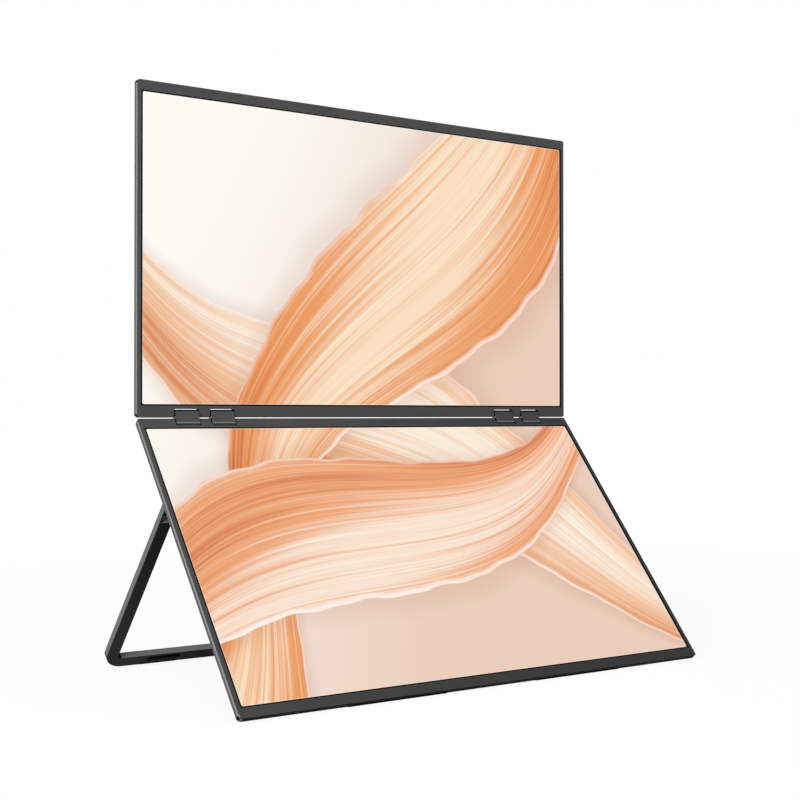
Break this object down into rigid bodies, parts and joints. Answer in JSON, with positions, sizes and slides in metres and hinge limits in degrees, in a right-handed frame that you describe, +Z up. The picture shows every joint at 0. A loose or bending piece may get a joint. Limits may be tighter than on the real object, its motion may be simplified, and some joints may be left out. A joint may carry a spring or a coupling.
{
  "type": "dual stacked monitor",
  "caption": "Slim portable screens stacked one above the other, joined by paired hinge links, with a U-shaped fold-out stand behind the lower one.",
  "frame": {"origin": "on the table, under the middle of the box round the whole object as it stands in the picture", "axes": "+X to the right of someone looking at the screens, +Y away from them, +Z up"},
  "size_m": [0.3526, 0.1994, 0.3773],
  "materials": {
    "bezel_plastic": "fine matt",
    "cover_plastic": "fine matt",
    "screen_glass": "lit picture behind glass",
    "light_guide": "clear acrylic with white film",
    "plain_aluminium": "plain",
    "board_green": "solder resist",
    "film_grey": "film",
    "socket_steel": "plain",
    "dark_steel": "blackened",
    "black_plastic": "satin",
    "rubber_black": "matt",
    "link_metal": "dark anodised",
    "stand_metal": "dark anodised"
  },
  "bodies": {
    "lower_unit": {"lower_bezel_frame": "bezel_plastic", "lower_rear_cover": "cover_plastic", "lower_lcd_panel": "screen_glass", "lower_backlight": "light_guide", "lower_led_bar": "light_guide", "lower_support_plate": "plain_aluminium", "lower_panel_board": "board_green", "lower_ribbon_cable": "film_grey", "lower_driver_board": "board_green", "lower_usb_sockets": "socket_steel", "lower_video_socket": "socket_steel", "lower_headphone_socket": "black_plastic", "lower_speakers": "black_plastic", "lower_hinge_brackets": "dark_steel", "lower_hinge_pins": "socket_steel", "lower_bracket_screws": "dark_steel", "lower_cover_screws": "dark_steel", "lower_board_screws": "dark_steel", "lower_button_switches": "film_grey", "lower_foot_strips": "rubber_black", "stand_hinge_housings": "dark_steel", "stand_housing_screws": "dark_steel"},
    "hinge_links": {"outer_left_link": "link_metal", "inner_left_link": "link_metal", "inner_right_link": "link_metal", "outer_right_link": "link_metal"},
    "upper_unit": {"upper_bezel_frame": "bezel_plastic", "upper_rear_cover": "cover_plastic", "upper_lcd_panel": "screen_glass", "upper_backlight": "light_guide", "upper_led_bar": "light_guide", "upper_support_plate": "plain_aluminium", "upper_panel_board": "board_green", "upper_ribbon_cable": "film_grey", "upper_driver_board": "board_green", "upper_usb_sockets": "socket_steel", "upper_video_socket": "socket_steel", "upper_headphone_socket": "black_plastic", "upper_speakers": "black_plastic", "upper_hinge_brackets": "dark_steel", "upper_hinge_pins": "socket_steel", "upper_bracket_screws": "dark_steel", "upper_cover_screws": "dark_steel", "upper_board_screws": "dark_steel", "upper_button_switches": "film_grey"},
    "stand": {"stand_frame": "stand_metal", "stand_leaves": "dark_steel", "stand_leaf_screws": "dark_steel", "stand_shafts": "socket_steel", "stand_friction_discs": "socket_steel", "stand_foot_pads": "rubber_black", "stand_bumpers": "rubber_black"},
    "upper_power": {"upper_power_button": "black_plastic"},
    "upper_menu": {"upper_menu_button": "black_plastic"},
    "lower_power": {"lower_power_button": "black_plastic"},
    "lower_menu": {"lower_menu_button": "black_plastic"}
  },
  "joints": [
    {"name": "link_tilt", "type": "hinge", "parent": "lower_unit", "child": "hinge_links", "pos_m": [0, 0.03655, 0.16222], "axis": [1, 0, 0], "range_deg": [-20, 70]},
    {"name": "upper_tilt", "type": "hinge", "parent": "hinge_links", "child": "upper_unit", "pos_m": [0, 0.03835, 0.16715], "axis": [1, 0, 0], "range_deg": [-20, 70]},
    {"name": "stand_fold", "type": "hinge", "parent": "lower_unit", "child": "stand", "pos_m": [0, 0.00093, 0.113], "axis": [1, 0, 0], "range_deg": [-81, 8.9]},
    {"name": "upper_power_press", "type": "slide", "parent": "upper_unit", "child": "upper_power", "axis": [-1, 0, 0], "range_m": [0, 0.0004], "stiffness_N_per_m": 1500},
    {"name": "upper_menu_press", "type": "slide", "parent": "upper_unit", "child": "upper_menu", "axis": [-1, 0, 0], "range_m": [0, 0.0004], "stiffness_N_per_m": 1500},
    {"name": "lower_power_press", "type": "slide", "parent": "lower_unit", "child": "lower_power", "axis": [-1, 0, 0], "range_m": [0, 0.0004], "stiffness_N_per_m": 1500},
    {"name": "lower_menu_press", "type": "slide", "parent": "lower_unit", "child": "lower_menu", "axis": [-1, 0, 0], "range_m": [0, 0.0004], "stiffness_N_per_m": 1500}
  ]
}
